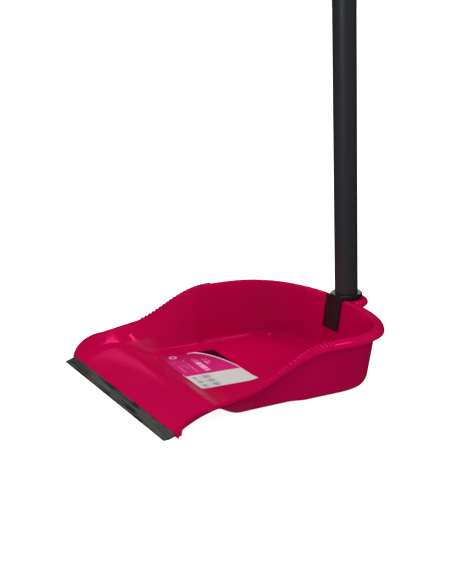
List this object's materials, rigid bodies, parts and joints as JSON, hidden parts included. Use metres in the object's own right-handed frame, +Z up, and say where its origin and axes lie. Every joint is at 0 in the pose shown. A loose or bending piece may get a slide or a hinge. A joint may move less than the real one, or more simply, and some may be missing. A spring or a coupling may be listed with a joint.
{
  "type": "long-handled dust pan",
  "caption": "Upright dust pan with a ramped rubber lip, combed side walls, a deep rounded basin and a tube handle that pulls out of a rear socket.",
  "frame": {"origin": "centre of the footprint, on the floor", "axes": "+Z up along the handle, -Y towards the rubber lip, +X to the right when looking from the lip to the handle"},
  "size_m": [0.269, 0.3058, 0.79],
  "materials": {
    "pan_plastic": "glossy moulded crimson",
    "lip_rubber": "matt black rubber with fine lengthwise streaks",
    "label_film": "printed film, semi-gloss",
    "fitting_plastic": "satin black moulding",
    "tube_coating": "satin black coated steel tube",
    "grip_plastic": "satin black moulding with a fine grain"
  },
  "bodies": {
    "pan_body": {"pan": "pan_plastic", "rubber_lip": "lip_rubber", "floor_label": "label_film"},
    "handle_body": {"handle_fitting": "fitting_plastic", "handle_tube": "tube_coating", "hand_grip": "grip_plastic"}
  },
  "joints": [
    {"name": "handle_pull", "type": "slide", "parent": "pan_body", "child": "handle_body", "axis": [0, -0.0349, 0.9994], "range_m": [0, 0.045]}
  ]
}
